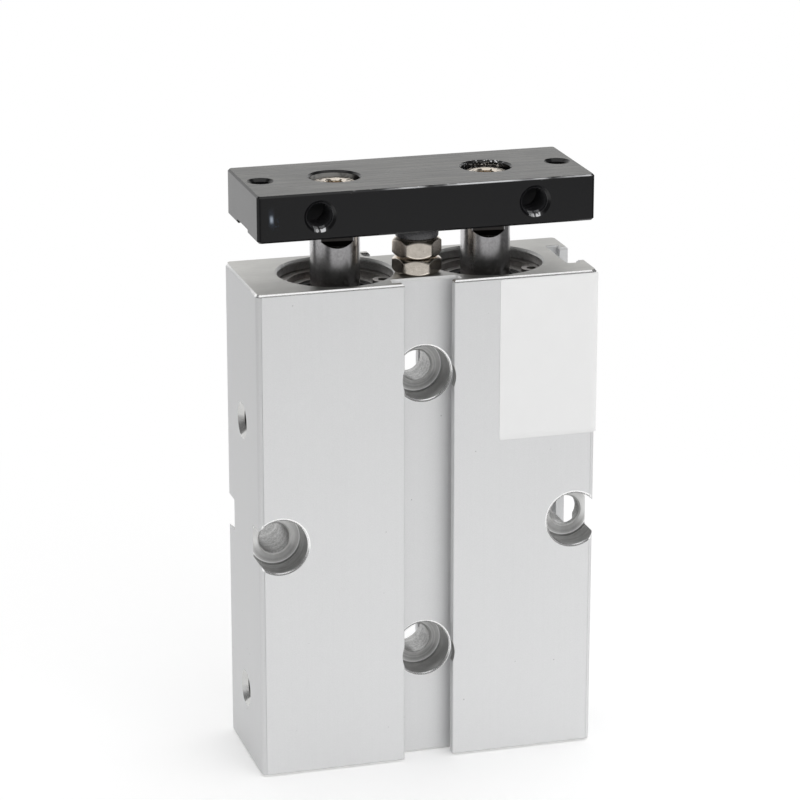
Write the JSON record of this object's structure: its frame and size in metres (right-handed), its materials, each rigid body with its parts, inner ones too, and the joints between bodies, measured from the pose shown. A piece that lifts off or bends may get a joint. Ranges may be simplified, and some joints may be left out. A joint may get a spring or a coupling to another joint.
{
  "type": "guided pneumatic cylinder",
  "caption": "Slim aluminium air cylinder with parallel rods driving one end plate, T-slots, through mounting holes, side air ports and a stroke adjusting bolt between the rods.",
  "frame": {"origin": "centre of the body's rear end face, on which the part stands", "axes": "+Z along the rods, from the body towards the end plate; X across the two bores, with the air ports on the -X face; -Y is the front, with the tapped front holes of the end plate"},
  "size_m": [0.056, 0.0216, 0.0965],
  "materials": {
    "anodised_body": "fine blasted, clear anodised",
    "black_plate": "black anodised, milled",
    "nickel": "nickel plated",
    "black_rubber": "moulded, satin",
    "cover_alloy": "turned, satin",
    "bush": "turned bronze",
    "spring_steel": "oiled spring steel",
    "polished_rod": "ground and hard chromed",
    "piston_alloy": "turned",
    "magnet": "plastic bonded magnet",
    "wear_plastic": "moulded",
    "amber_rubber": "cast polyurethane"
  },
  "bodies": {
    "body": {"cylinder_body": "anodised_body", "front_cover_left": "cover_alloy", "front_cover_right": "cover_alloy", "guide_bush_left": "bush", "guide_bush_right": "bush", "rod_seal_left": "black_rubber", "rod_seal_right": "black_rubber", "front_oring_left": "black_rubber", "front_oring_right": "black_rubber", "front_circlip_left": "spring_steel", "front_circlip_right": "spring_steel", "rear_cover_left": "cover_alloy", "rear_cover_right": "cover_alloy", "rear_oring_left": "black_rubber", "rear_oring_right": "black_rubber", "rear_circlip_left": "spring_steel", "rear_circlip_right": "spring_steel", "adjusting_bolt": "nickel", "lock_nut": "nickel", "bumper": "black_rubber"},
    "slide": {"end_plate": "black_plate", "piston_rod_left": "polished_rod", "piston_rod_right": "polished_rod", "rod_screw_left": "nickel", "rod_screw_right": "nickel", "piston_left": "piston_alloy", "piston_right": "piston_alloy", "piston_screw_left": "nickel", "piston_screw_right": "nickel", "piston_seal_left": "black_rubber", "piston_seal_right": "black_rubber", "magnet_ring_left": "magnet", "magnet_ring_right": "magnet", "wear_ring_left": "wear_plastic", "wear_ring_right": "wear_plastic", "stroke_bumper_left": "amber_rubber", "stroke_bumper_right": "amber_rubber"}
  },
  "joints": [
    {"name": "rod_slide", "type": "slide", "parent": "body", "child": "slide", "axis": [0, 0, 1], "range_m": [0, 0.03]}
  ]
}
